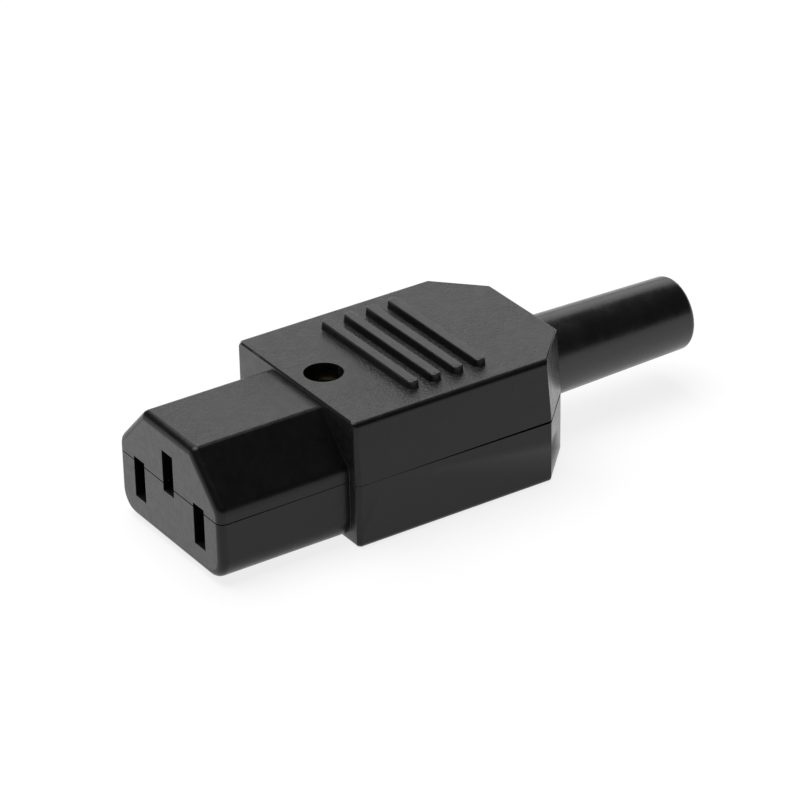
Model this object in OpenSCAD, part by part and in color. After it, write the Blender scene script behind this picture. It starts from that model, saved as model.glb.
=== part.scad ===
// Rewirable C13 appliance connector: two moulded half shells drawn together by one
// screw, three folded brass contacts with screw terminals, a cord clamp and a
// flexible sleeve. Contact face towards -Y, cord outlet towards +Y, resting on its
// flat underside with the origin at the middle of the footprint. Millimetres.

/* [Nose] */
// Width of the nose across its upright sides
nose_w = 23.8; // [23.4:0.1:24.4]
// Height of the nose from its bottom to its flat top
nose_h = 16; // [15.6:0.1:16.4]
// Length of the nose in front of the body
nose_l = 18.3; // [18:0.1:20]
// Depth of the nose's bottom below the parting plane
nose_drop = 8.3; // [8:0.1:8.6]
// Leg of the two bevels that key the nose at its top
nose_bevel = 6.1; // [5.4:0.1:6.6]
// Radius where the bevels meet the top
nose_top_r = 1; // [0.4:0.1:1.6]
// Radius where the bevels meet the upright sides
nose_side_r = 2; // [0.8:0.1:3]
// Radius of the two bottom corners
nose_bottom_r = 3; // [1.2:0.1:4]
// Rounding round the edge of the contact face
nose_edge_r = 1; // [0.3:0.1:1.2]
// Thickness of the wall that the contact slots pass through
nose_front_wall = 1.8; // [1.4:0.1:2.4]

/* [Contact slots] */
// Distance between the line and neutral pins
pin_pitch = 14; // [13.8:0.1:14.2]
// Height of the earth pin above the other two
earth_rise = 4; // [3.8:0.1:4.2]
// Depth of the line and neutral pins below the parting plane
pin_drop = 2.35; // [2.2:0.05:2.5]
// Width of each slot
slot_w = 2.5; // [2.3:0.1:2.8]
// Height of each slot
slot_h = 5.6; // [5.2:0.1:5.8]

/* [Body] */
// Width of the body
body_w = 27.3; // [26.8:0.1:30]
// Length of the body
body_l = 34; // [33:0.5:40]
// Height of the body's top above the parting plane
body_up = 8.5; // [8.2:0.1:9.2]
// Depth of the body's bottom below the parting plane
body_down = 8.8; // [8.6:0.1:9.4]
// Width of the flat rear face between the two corner cuts
rear_w = 16; // [15:0.5:18]
// Length of the corner cuts along the body
rear_cut_l = 5.4; // [4:0.1:6.5]
// Wall thickness of both shells
wall = 1.6; // [1.3:0.1:1.9]
// Rounding along the long edges and round the bottom
body_edge_r = 0.8; // [0.4:0.1:1.2]
// Rounding of the upright corners beside the nose
front_corner_r = 0.8; // [0.3:0.1:1.2]
// Rounding of the top edge round the rear and in front
top_rear_r = 0.3; // [0.1:0.1:0.5]
// Inward lean of the upper shell's corner cuts, degrees
cut_draft_up = 3.6; // [0.5:0.1:4]
// Inward lean of every other side, degrees
side_draft = 0.6; // [0.2:0.1:1]
// Thickness of the upper shell's lip that laps inside the lower shell's sides
lap_t = 0.7; // [0.5:0.1:0.8]
// Depth that the lip reaches below the parting plane
lap_depth = 1.2; // [0.8:0.1:1.6]
// Opening between the shells at the contact face
gap_front = 0.14; // [0.05:0.01:0.2]
// Opening between the shells at the screw, which draws them together
gap_screw = 0.03; // [0.01:0.01:0.1]
// Opening between the shells at the rear, where no screw holds them
gap_rear = 0.36; // [0.1:0.02:0.4]

/* [Grip ribs] */
// Number of ribs across the top
rib_count = 4; // [1:1:5]
// Distance from one rib to the next
rib_pitch = 3.27; // [2.6:0.01:3.6]
// Length of a rib over its round ends
rib_l = 20.5; // [14:0.5:22]
// Width of a rib
rib_w = 1.6; // [1:0.1:2]
// Height of a rib above the top
rib_h = 1.05; // [0.5:0.05:1.4]
// Rounding of a rib's top edges
rib_r = 0.15; // [0.1:0.05:0.45]
// Distance from the body's front to the middle of the first rib
rib_start = 10.9; // [9:0.1:12]

/* [Housing screw] */
// Distance from the body's front to the screw
screw_back = 4.2; // [4.2:0.1:5]
// Diameter of the hole that the screw is sunk in
screw_hole_d = 5; // [4.8:0.1:5.4]
// Depth of the screw head's top below the surface
screw_sink = 2.4; // [1.6:0.1:2.8]
// Height of the screw head
screw_head_h = 1.6; // [1.2:0.1:1.8]
// Diameter of the screw's thread
screw_d = 2.6; // [2.2:0.1:2.8]
// Length of the screw under its head
screw_l = 10.4; // [9:0.1:10.6]

/* [Brass contacts] */
// Thickness of the brass strip
strip_t = 0.5; // [0.4:0.05:0.6]
// Width over the two leaves of a contact
leaf_span = 3.9; // [3.6:0.1:4.1]
// Opening between the leaves at their throat
throat = 1.8; // [1.4:0.1:1.9]
// Height of a leaf above the web that joins the two
leaf_h = 4.75; // [4.4:0.05:4.9]
// Length of the leaves
leaf_l = 14; // [12:0.5:14.5]
// Distance of a leaf's mouth behind the front wall
mouth_back = 0.5; // [0.3:0.1:1]
// Width and length of a terminal pad
pad_w = 5.6; // [5.2:0.1:5.8]
pad_l = 6.4; // [6:0.1:6.8]
// Depth of the threaded collar under a pad
collar_h = 1.2; // [0.8:0.1:1.4]
// Distance from the body's front to the line and neutral terminals
terminal_back = 9.2; // [8.8:0.1:10]
// Distance from the body's front to the earth terminal
earth_terminal_back = 13.2; // [12.8:0.1:13.6]

/* [Terminal screws] */
// Diameter of a terminal screw's thread
terminal_d = 3; // [2.6:0.1:3.1]
// Length of a terminal screw under its head
terminal_l = 3.5; // [3.2:0.1:3.6]
// Diameter and height of a terminal screw's head
terminal_head_d = 5; // [4.4:0.1:5.2]
terminal_head_h = 1.7; // [1.3:0.1:2]
// Thickness of a wire clamp plate
plate_t = 0.8; // [0.6:0.1:1]
// Depth of the lips that hold the wire under a plate
lip_h = 0.7; // [0.5:0.1:0.8]

/* [Cord clamp] */
// Distance from the clamp to the body's rear face
clamp_back = 10.8; // [10.2:0.1:11.5]
// Width of the clamp bar along the cord
clamp_w = 5; // [4:0.1:5.6]
// Thickness of the clamp bar
clamp_t = 1.8; // [1.4:0.1:2]
// Diameter of the cord that the clamp closes on
cord_d = 7; // [6:0.1:7.2]
// Diameter of the clamp screws
clamp_screw_d = 2.9; // [2.5:0.1:3]
// Length of the clamp screws under their heads
clamp_screw_l = 8; // [6.5:0.1:8.4]

/* [Sleeve] */
// Height of the sleeve's axis above the parting plane
sleeve_rise = 0.65; // [0:0.05:0.8]
// Length of the sleeve behind the body
sleeve_l = 23.6; // [20:0.1:30]
// Outer diameter where the sleeve leaves the body
sleeve_root_d = 10.8; // [10.4:0.1:11]
// Outer diameter at the free end
sleeve_tip_d = 9.8; // [9.2:0.1:10.2]
// Diameter of the bore that the cord passes through
sleeve_bore_d = 7.4; // [7.3:0.1:8]
// Diameter and thickness of the flange that anchors the sleeve
flange_d = 12.2; // [11.8:0.1:12.3]
flange_t = 1.8; // [1.4:0.1:2.2]
// Rounding of the free end
sleeve_end_r = 0.8; // [0.3:0.1:0.9]

/* [Fits] */
// Clearance of the screw head in its hole, to each side
head_gap = 0.2; // [0.1:0.05:0.4]
// Clearance of a contact in its pocket, to each side
pocket_gap = 0.15; // [0.1:0.01:0.2]
// Clearance of a screw, a peg or a flange in its seat, to each side
seat_gap = 0.1; // [0.05:0.01:0.12]
// Clearance of a thread in the hole that it is cut in
thread_gap = 0.03; // [0.02:0.01:0.05]

/* [Hidden] */
$fn = 48;
// Longest stretch that any cutting solid has to reach over
reach = 120;
// Overlap that lets a cut run clear through a face
eps = 0.2;

// Pins of the inlet that this connector takes
pin_h = 4;
earth_z = earth_rise - pin_drop;
// Room between a pin and the contact's web below it
web_room = 0.35;
function web_z(pin_z) = pin_z - pin_h / 2 - web_room - strip_t;
function terminal_seat_z(pin_z) = web_z(pin_z) + strip_t + lip_h + plate_t;
function slot_top(pin_z) = pin_z + slot_h / 2;

rear_y = nose_l + body_l;
overall_l = rear_y + sleeve_l;
body_in_y = nose_l + wall;
rear_in_y = rear_y - wall;
nose_top = nose_h - nose_drop;

// Corner cuts at the rear: their outward heading and distance from the axis
cut_dx = (body_w - rear_w) / 2;
cut_heading = atan2(cut_dx, rear_cut_l);
cut_reach = cos(cut_heading) * body_w / 2 + sin(cut_heading) * (rear_y - rear_cut_l);
// Distance from the axis to the middle of a rounded front corner, heading 45 degrees forwards
corner_reach = (body_w / 2 - nose_l - 2 * front_corner_r) * cos(45) + front_corner_r;

screw_y = nose_l + screw_back;
screw_head_d = screw_hole_d - 2 * head_gap;
screw_seat_z = body_up - screw_sink - screw_head_h;
spigot_r = screw_d / 2 + 0.8;
boss_r = spigot_r + 0.8;
eye_r = spigot_r + seat_gap;
shoulder_r = screw_hole_d / 2 + 1.2;

earth_pad_y = nose_l + earth_terminal_back;
pad_y = nose_l + terminal_back;
collar_r = terminal_d / 2 + 0.6;
// Ledges that carry the earth contact, and the barriers that rise beside it
ledge_x = collar_r + seat_gap;
barrier_x = 3.3;
barrier_t = 0.8;
barrier_top = -0.45;
eye_rim_r = barrier_x - 2 * seat_gap;
ledge_end_y = earth_pad_y + pad_l / 2 + 0.3;
// The line and neutral terminals stand midway between a barrier and the side wall
terminal_x = (barrier_x + barrier_t + body_w / 2 - wall) / 2;

// Lip along the sides, and the rim round the nose where the opening shows
lap_x = body_w / 2 - wall - seat_gap;
lap_end_y = rear_y - rear_cut_l - wall;
rim = 0.8;

post_r = 1.65;
post_x = lap_x - lap_t - seat_gap - post_r;
peg_r = 0.9;
peg_l = 2;

clamp_post_r = clamp_screw_d / 2 + 1.2;
clamp_x = lap_x - lap_t - seat_gap - clamp_post_r;
clamp_y = rear_y - clamp_back;
// The locating posts stand midway between the terminals and the clamp
post_y = (pad_y + pad_l / 2 + clamp_y - clamp_w / 2) / 2;
clamp_seat_z = sleeve_rise + 0.55;
clamp_head_r = 2.5;
clamp_head_h = 1.7;
clamp_pinch = 0.15;

flange_y = rear_in_y - seat_gap - flange_t;
fence_t = 1.5;
fence_y = flange_y - seat_gap - fence_t;

shell_black = [0.09, 0.09, 0.1];
sleeve_black = [0.12, 0.12, 0.13];
brass = [0.8, 0.62, 0.28];
zinc = [0.75, 0.76, 0.78];
gilt_zinc = [0.78, 0.68, 0.42];
clamp_grey = [0.2, 0.2, 0.21];

// ---- Outlines ----

function unit(v) = v / norm(v);
// Half of the angle at b between its neighbours a and c
function half_angle(a, b, c) = acos(unit(a - b) * unit(c - b)) / 2;
// Point at distance d from both edges that meet at b
function inner_point(a, b, c, d) = b + unit(unit(a - b) + unit(c - b)) * d / sin(half_angle(a, b, c));
function turned(v, q) = [v[0] * cos(q) - v[1] * sin(q), v[0] * sin(q) + v[1] * cos(q)];
function corner_arc(a, b, c, r, steps) =
    let (centre = inner_point(a, b, c, r),
         start = b + unit(a - b) * r / tan(half_angle(a, b, c)) - centre,
         sweep = (cross(a - b, c - b) > 0 ? -1 : 1) * (180 - 2 * half_angle(a, b, c)))
    [for (k = [0 : steps]) centre + turned(start, sweep * k / steps)];
function before(pts, i) = pts[(i + len(pts) - 1) % len(pts)];
function after(pts, i) = pts[(i + 1) % len(pts)];
// The outline pts with corner i rounded to radii[i]
function rounded(pts, radii, steps = 8) =
    [for (i = [0 : len(pts) - 1])
        each (radii[i] > 0
            ? corner_arc(before(pts, i), pts[i], after(pts, i), radii[i], steps)
            : [pts[i]])];
// The convex outline pts with every edge moved in by d
function inset(pts, d) =
    [for (i = [0 : len(pts) - 1]) inner_point(before(pts, i), pts[i], after(pts, i), d)];
// Outline of a strip of thickness t bent along the open path pts
function strip_side(pts, t) =
    [for (i = [0 : len(pts) - 1])
        let (along_in = unit(pts[max(i, 1)] - pts[max(i, 1) - 1]),
             last = len(pts) - 1,
             along_out = unit(pts[min(i, last - 1) + 1] - pts[min(i, last - 1)]),
             mean = unit(along_in + along_out))
        pts[i] + turned(mean, 90) * t / (mean * along_in)];
function reversed(pts) = [for (i = [len(pts) - 1 : -1 : 0]) pts[i]];
function bent_strip(pts, t) = concat(strip_side(pts, t / 2), reversed(strip_side(pts, -t / 2)));

function nose_corners() = [
    [-nose_w / 2, -nose_drop], [nose_w / 2, -nose_drop],
    [nose_w / 2, nose_top - nose_bevel], [nose_w / 2 - nose_bevel, nose_top],
    [-nose_w / 2 + nose_bevel, nose_top], [-nose_w / 2, nose_top - nose_bevel]
];
nose_radii = [nose_bottom_r, nose_bottom_r, nose_side_r, nose_top_r, nose_top_r, nose_side_r];
function nose_outline(d) =
    rounded(inset(nose_corners(), d), [for (r = nose_radii) max(r - d, 0.05)], 7);

function body_corners() = [
    [-body_w / 2, nose_l], [body_w / 2, nose_l],
    [body_w / 2, rear_y - rear_cut_l], [rear_w / 2, rear_y],
    [-rear_w / 2, rear_y], [-body_w / 2, rear_y - rear_cut_l]
];
body_radii = [front_corner_r, front_corner_r, 0.5, 0.5, 0.5, 0.5];

// ---- Building blocks ----

// Moves the model from its contact face and parting plane to its resting place
module placed() {
    translate([0, -overall_l / 2, body_down]) children();
}

// Stands an outline drawn in X and Z along the connector, from y0 to y1
module along(y0, y1) {
    translate([0, y1, 0]) rotate([90, 0, 0]) linear_extrude(y1 - y0) children();
}

module box_between(low, high) {
    translate(low) cube(high - low);
}

module post(x, y, z0, z1, r) {
    translate([x, y, z0]) cylinder(h = z1 - z0, r = r);
}

module both_sides() {
    children();
    mirror([1, 0, 0]) children();
}

// Keeps what lies above the parting plane (side = 1) or below it (side = -1)
module half_space(side) {
    translate([-reach, -reach, side > 0 ? 0 : -2 * reach]) cube(2 * reach);
}

// Long bar of height h with one face towards a heading, at a distance from the axis.
// The face leans in by the draft and its far edge is rounded
module bar(heading, distance, draft, h, edge_r) {
    lean = h * tan(draft);
    profile = [[-reach, 0], [distance, 0], [distance - lean, h], [-reach, h]];
    rotate([0, 0, heading]) rotate([90, 0, 0])
        linear_extrude(2 * reach, center = true)
            polygon(rounded(profile, [0, 0, edge_r, 0], 6));
}

// Half of the body's box, standing on the parting plane, moved in by d on every side
module body_box(h, cut_draft, long_r, rear_r, d) {
    intersection() {
        bar(0, body_w / 2 - d, side_draft, h, long_r);
        bar(180, body_w / 2 - d, side_draft, h, long_r);
        bar(90, rear_y - d, side_draft, h, rear_r);
        bar(-90, -nose_l - d, 0, h, rear_r);
        bar(cut_heading, cut_reach - d, cut_draft, h, rear_r);
        bar(180 - cut_heading, cut_reach - d, cut_draft, h, rear_r);
        // Softens the point where two long edges and the front meet
        bar(-45, corner_reach - d, side_draft, h, long_r);
        bar(-135, corner_reach - d, side_draft, h, long_r);
        linear_extrude(h)
            polygon(rounded(inset(body_corners(), d), [for (r = body_radii) max(r - d, 0.05)], 5));
    }
}

module nose_solid() {
    // Edge of the contact face, as steps of a quarter round
    hull() {
        for (q = [0 : 22.5 : 90]) {
            depth = nose_edge_r * (1 - cos(q));
            along(depth, depth + 0.01) polygon(nose_outline(nose_edge_r * (1 - sin(q))));
        }
    }
    along(nose_edge_r, body_in_y) polygon(nose_outline(0));
}

// Opening between the shells, cut from the lower one: narrow at the screw and wider to both ends
module parting_wedge() {
    mouth = [[-reach, eps], [-reach, -gap_front], [0, -gap_front], [screw_y, -gap_screw],
             [rear_y, -gap_rear], [rear_y + reach, -gap_rear], [rear_y + reach, eps]];
    rotate([90, 0, 90]) linear_extrude(2 * reach, center = true) polygon(mouth);
}

// Inner part of the lower shell's faces that the upper shell rests on
module lands() {
    box_between([-nose_w / 2 + rim, rim, -1], [nose_w / 2 - rim, body_in_y, 0]);
    box_between([-body_w / 2 + rim, nose_l + rim, -1], [body_w / 2 - rim, body_in_y, 0]);
}

// Slot through the front wall and the pocket behind it, about one pin
module contact_well(x, pin_z) {
    half_w = leaf_span / 2 + pocket_gap;
    box_between([x - slot_w / 2, -eps, pin_z - slot_h / 2],
                [x + slot_w / 2, nose_front_wall + eps, pin_z + slot_h / 2]);
    box_between([x - half_w, nose_front_wall, web_z(pin_z)],
                [x + half_w, body_in_y + eps, slot_top(pin_z) + seat_gap]);
}

module contact_wells() {
    contact_well(pin_pitch / 2, -pin_drop);
    contact_well(-pin_pitch / 2, -pin_drop);
    contact_well(0, earth_z);
}

// Room that the sleeve takes in the rear wall, with the groove for its flange
module sleeve_seat() {
    translate([0, 0, sleeve_rise]) rotate([-90, 0, 0]) {
        translate([0, 0, fence_y - eps])
            cylinder(h = rear_y - fence_y + 2 * eps, d = sleeve_root_d - 2 * seat_gap);
        translate([0, 0, flange_y - seat_gap])
            cylinder(h = rear_in_y - flange_y + seat_gap, d = flange_d + 2 * seat_gap);
    }
}

// ---- Shells ----

module lower_furniture() {
    floor_z = -body_down + wall;
    ledge = [[barrier_x + barrier_t, floor_z], [barrier_x + barrier_t, barrier_top],
             [barrier_x, barrier_top], [barrier_x, web_z(earth_z)],
             [ledge_x, web_z(earth_z)], [ledge_x, floor_z]];
    both_sides() {
        // Step that carries the earth contact, with its barrier
        along(nose_l, ledge_end_y) polygon(ledge);
        // Platform under a line or neutral terminal
        box_between([barrier_x + barrier_t, nose_l, floor_z],
                    [terminal_x + pad_w / 2 + 0.3, pad_y + pad_l / 2 + 0.3, web_z(-pin_drop)]);
        post(post_x, post_y, floor_z, 0, post_r);
    }
    // Cross wall that closes the ledges
    box_between([-barrier_x, ledge_end_y - 1, floor_z], [barrier_x, ledge_end_y, web_z(earth_z)]);
    post(0, screw_y, floor_z, web_z(earth_z), boss_r);
    // Rest for the cord between the clamp's posts
    difference() {
        box_between([-clamp_x, clamp_y - 1.3, floor_z],
                    [clamp_x, clamp_y + 1.3, sleeve_rise - cord_d / 4]);
        translate([0, 0, sleeve_rise]) rotate([-90, 0, 0]) cylinder(h = reach, d = cord_d + 0.5);
    }
    box_between([-body_w / 2, fence_y, floor_z], [body_w / 2, rear_in_y, 0]);
}

module lower_shell() {
    floor_z = -body_down + wall;
    color(shell_black) placed() difference() {
        union() {
            difference() {
                union() {
                    mirror([0, 0, 1]) body_box(body_down, side_draft, body_edge_r, body_edge_r, 0);
                    intersection() {
                        nose_solid();
                        half_space(-1);
                    }
                }
                parting_wedge();
                post(0, screw_y, web_z(earth_z), eps, eye_rim_r + seat_gap);
                difference() {
                    mirror([0, 0, 1]) body_box(body_down - wall, side_draft, 0, 0, wall);
                    lower_furniture();
                }
            }
            difference() {
                lands();
                post(0, screw_y, web_z(earth_z), eps, eye_rim_r + seat_gap);
            }
            // Spigot that the earth contact's eye drops over
            post(0, screw_y, floor_z - eps, -seat_gap, spigot_r);
            both_sides() {
                post(clamp_x, clamp_y, floor_z - eps, clamp_seat_z, clamp_post_r);
                post(post_x, post_y, floor_z - eps, 0, post_r);
            }
        }
        contact_wells();
        sleeve_seat();
        post(0, screw_y, screw_seat_z - screw_l - 0.3, eps, screw_d / 2 + thread_gap);
        post(0, earth_pad_y, floor_z, eps, collar_r + seat_gap);
        both_sides() {
            post(terminal_x, pad_y, terminal_seat_z(-pin_drop) - terminal_l - 0.3, 0,
                 collar_r + seat_gap);
            post(clamp_x, clamp_y, clamp_seat_z + clamp_t - clamp_screw_l - 0.6,
                 clamp_seat_z + eps, clamp_screw_d / 2 + thread_gap);
            post(post_x, post_y, -peg_l - 0.3, eps, peg_r + seat_gap);
        }
    }
}

module upper_furniture() {
    roof_z = body_up - wall;
    post(0, screw_y, 0, roof_z, shoulder_r);
    both_sides() post(post_x, post_y, 0, roof_z, post_r);
    box_between([-body_w / 2, fence_y, 0], [body_w / 2, rear_in_y, roof_z]);
}

// Lip that hangs from the upper shell's sides and laps inside the lower shell
module lap_lip() {
    root_x = body_w / 2 - wall / 2;
    section = [[lap_x - lap_t, -lap_depth], [lap_x, -lap_depth], [lap_x, 0], [root_x, 0],
               [root_x, lap_t], [lap_x - lap_t, 3 * lap_t]];
    both_sides() along(body_in_y + seat_gap, lap_end_y) polygon(section);
}

module grip_rib() {
    root = 0.4;
    half = rib_w / 2;
    section = rounded([[0, -root], [half, -root], [half, rib_h], [0, rib_h]], [0, 0, rib_r, 0], 6);
    run = rib_l / 2 - half;
    both_sides() {
        rotate([90, 0, 90]) linear_extrude(run) polygon(section);
        rotate([90, 0, 90]) linear_extrude(run) mirror([1, 0]) polygon(section);
        translate([run, 0, 0]) rotate([0, 0, -90]) rotate_extrude(angle = 180) polygon(section);
    }
}

module upper_shell() {
    roof_z = body_up - wall;
    boss_end_z = web_z(earth_z) + strip_t;
    color(shell_black) placed() difference() {
        union() {
            difference() {
                union() {
                    body_box(body_up, cut_draft_up, body_edge_r, top_rear_r, 0);
                    intersection() {
                        nose_solid();
                        half_space(1);
                    }
                }
                difference() {
                    body_box(body_up - wall, cut_draft_up, 0, 0, wall);
                    upper_furniture();
                }
            }
            // Foot of the screw boss, which presses on the earth contact
            post(0, screw_y, boss_end_z, roof_z, boss_r);
            both_sides() post(post_x, post_y, -peg_l, roof_z, peg_r);
            lap_lip();
            for (i = [0 : rib_count - 1])
                translate([0, nose_l + rib_start + i * rib_pitch, body_up]) grip_rib();
        }
        contact_wells();
        sleeve_seat();
        post(0, screw_y, screw_seat_z, body_up + eps, screw_hole_d / 2);
        post(0, screw_y, boss_end_z - eps, screw_seat_z + eps, screw_d / 2 + seat_gap);
        post(0, screw_y, boss_end_z - eps, 0, eye_r);
    }
}

// ---- Screws ----

// Pan head on its seat at z = 0, crown rounded, with the shank below
module pan_screw(d, l, head_d, head_h) {
    r = head_d / 2;
    difference() {
        rotate_extrude()
            polygon(rounded([[0, -l], [d / 2 - 0.35, -l], [d / 2, -l + 0.35], [d / 2, 0],
                             [r, 0], [r, head_h], [0, head_h]],
                            [0, 0, 0, 0, 0.15, head_h * 0.55, 0], 8));
        children();
    }
}

module straight_slot(head_d, head_h) {
    box_between([-head_d, -0.4, head_h * 0.4], [head_d, 0.4, head_h + eps]);
}

module cross_recess(head_d, head_h) {
    arm = head_d * 0.27;
    for (q = [0, 90])
        rotate([0, 0, q]) box_between([-arm, -0.35, head_h * 0.3], [arm, 0.35, head_h + eps]);
}

module housing_screw() {
    color(gilt_zinc) placed() translate([0, screw_y, screw_seat_z])
        pan_screw(screw_d, screw_l, screw_head_d, screw_head_h)
            cross_recess(screw_head_d, screw_head_h);
}

module terminal_screw(x, y, pin_z) {
    color(zinc) placed() translate([x, y, terminal_seat_z(pin_z)])
        pan_screw(terminal_d, terminal_l, terminal_head_d, terminal_head_h)
            straight_slot(terminal_head_d, terminal_head_h);
}

module line_terminal_screw() { terminal_screw(terminal_x, pad_y, -pin_drop); }
module neutral_terminal_screw() { terminal_screw(-terminal_x, pad_y, -pin_drop); }
module earth_terminal_screw() { terminal_screw(0, earth_pad_y, earth_z); }

module clamp_screw(x) {
    color(zinc) placed() translate([x, clamp_y, clamp_seat_z + clamp_t])
        pan_screw(clamp_screw_d, clamp_screw_l, 2 * clamp_head_r, clamp_head_h)
            cross_recess(2 * clamp_head_r, clamp_head_h);
}

module clamp_screw_left() { clamp_screw(-clamp_x); }
module clamp_screw_right() { clamp_screw(clamp_x); }

// ---- Contacts ----

// Two spring leaves that bow together to a throat, joined by a web at the back.
// Drawn about the pin's own axis at x = 0, with the web's underside at z = 0
module leaves() {
    mid = leaf_span / 2 - strip_t / 2;
    mouth_y = nose_front_wall + mouth_back;
    bow = [[mid, 0], [mid, leaf_l * 0.45], [throat / 2 + strip_t / 2, leaf_l * 0.8], [mid - 0.3, leaf_l]];
    both_sides()
        translate([0, mouth_y + leaf_l, 0]) mirror([0, 1, 0]) linear_extrude(strip_t + leaf_h)
            polygon(bent_strip(bow, strip_t));
    box_between([-leaf_span / 2, mouth_y + leaf_l * 0.55, 0],
                [leaf_span / 2, mouth_y + leaf_l, strip_t]);
}

// Pad with its threaded collar, about the terminal's own axis
module pad_blank() {
    linear_extrude(strip_t)
        polygon(rounded([[-pad_w / 2, -pad_l / 2], [pad_w / 2, -pad_l / 2],
                         [pad_w / 2, pad_l / 2], [-pad_w / 2, pad_l / 2]], [0.6, 0.6, 0.6, 0.6], 6));
    post(0, 0, -collar_h, strip_t / 2, collar_r);
}

module pad_thread() {
    post(0, 0, -collar_h - eps, strip_t + eps, terminal_d / 2 + thread_gap);
}

module live_contact() {
    tail_y = nose_front_wall + mouth_back + leaf_l - eps;
    step = terminal_x - pin_pitch / 2;
    half = leaf_span / 2;
    color(brass) placed() translate([pin_pitch / 2, 0, web_z(-pin_drop)]) difference() {
        union() {
            leaves();
            linear_extrude(strip_t)
                polygon([[-half, tail_y], [half, tail_y], [half, body_in_y],
                         [step + half, pad_y], [step - half, pad_y], [-half, body_in_y]]);
            translate([step, pad_y, 0]) pad_blank();
        }
        translate([step, pad_y, 0]) pad_thread();
    }
}

module line_contact() { live_contact(); }
module neutral_contact() { mirror([1, 0, 0]) live_contact(); }

module earth_contact() {
    tail_y = nose_front_wall + mouth_back + leaf_l - eps;
    half = leaf_span / 2;
    color(brass) placed() translate([0, 0, web_z(earth_z)]) difference() {
        union() {
            leaves();
            box_between([-half, tail_y, 0], [half, earth_pad_y, strip_t]);
            post(0, screw_y, 0, strip_t, eye_rim_r);
            translate([0, earth_pad_y, 0]) pad_blank();
        }
        post(0, screw_y, -eps, strip_t + eps, eye_r);
        translate([0, earth_pad_y, 0]) pad_thread();
    }
}

// Square plate with a lip down each side, resting on a terminal pad
module wire_clamp(x, y, pin_z) {
    half = pad_w / 2 - seat_gap;
    lip_w = 0.6;
    color(zinc) placed() translate([x, y, web_z(pin_z) + strip_t]) difference() {
        union() {
            box_between([-half, -half, lip_h], [half, half, lip_h + plate_t]);
            both_sides() box_between([half - lip_w, -half, 0], [half, half, lip_h + plate_t]);
        }
        post(0, 0, -eps, lip_h + plate_t + eps, terminal_d / 2 + seat_gap);
    }
}

module line_wire_clamp() { wire_clamp(terminal_x, pad_y, -pin_drop); }
module neutral_wire_clamp() { wire_clamp(-terminal_x, pad_y, -pin_drop); }
module earth_wire_clamp() { wire_clamp(0, earth_pad_y, earth_z); }

// ---- Cord clamp and sleeve ----

module cord_clamp() {
    end_x = clamp_x + clamp_head_r;
    bore_r = cord_d / 2 - clamp_pinch;
    color(clamp_grey) placed() difference() {
        along(clamp_y - clamp_w / 2, clamp_y + clamp_w / 2) difference() {
            union() {
                translate([-end_x, clamp_seat_z]) square([2 * end_x, clamp_t]);
                intersection() {
                    translate([0, sleeve_rise]) circle(r = bore_r + clamp_t);
                    translate([-reach, clamp_seat_z]) square(2 * reach);
                }
            }
            translate([0, sleeve_rise]) circle(r = bore_r);
        }
        both_sides() post(clamp_x, clamp_y, 0, reach, clamp_screw_d / 2 + seat_gap);
    }
}

module cord_sleeve() {
    bore_r = sleeve_bore_d / 2;
    end_r = min(sleeve_end_r, 0.7 * (sleeve_tip_d / 2 - bore_r));
    neck_r = sleeve_root_d / 2 - 2 * seat_gap;
    profile = [
        [bore_r, flange_y], [flange_d / 2, flange_y], [flange_d / 2, flange_y + flange_t],
        [neck_r, flange_y + flange_t], [neck_r, rear_y + seat_gap],
        [sleeve_root_d / 2, rear_y + seat_gap], [sleeve_tip_d / 2, overall_l], [bore_r, overall_l]
    ];
    color(sleeve_black) placed() translate([0, 0, sleeve_rise]) rotate([-90, 0, 0])
        rotate_extrude() polygon(rounded(profile, [0, 0.3, 0.3, 0, 0, 0.2, end_r, 0.2], 6));
}

upper_shell();
lower_shell();
housing_screw();
line_contact();
neutral_contact();
earth_contact();
line_wire_clamp();
neutral_wire_clamp();
earth_wire_clamp();
line_terminal_screw();
neutral_terminal_screw();
earth_terminal_screw();
cord_clamp();
clamp_screw_left();
clamp_screw_right();
cord_sleeve();
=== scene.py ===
import math

import bmesh
import bpy
from bpy.props import FloatProperty, FloatVectorProperty, IntProperty, PointerProperty
from mathutils import Matrix, Vector


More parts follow.
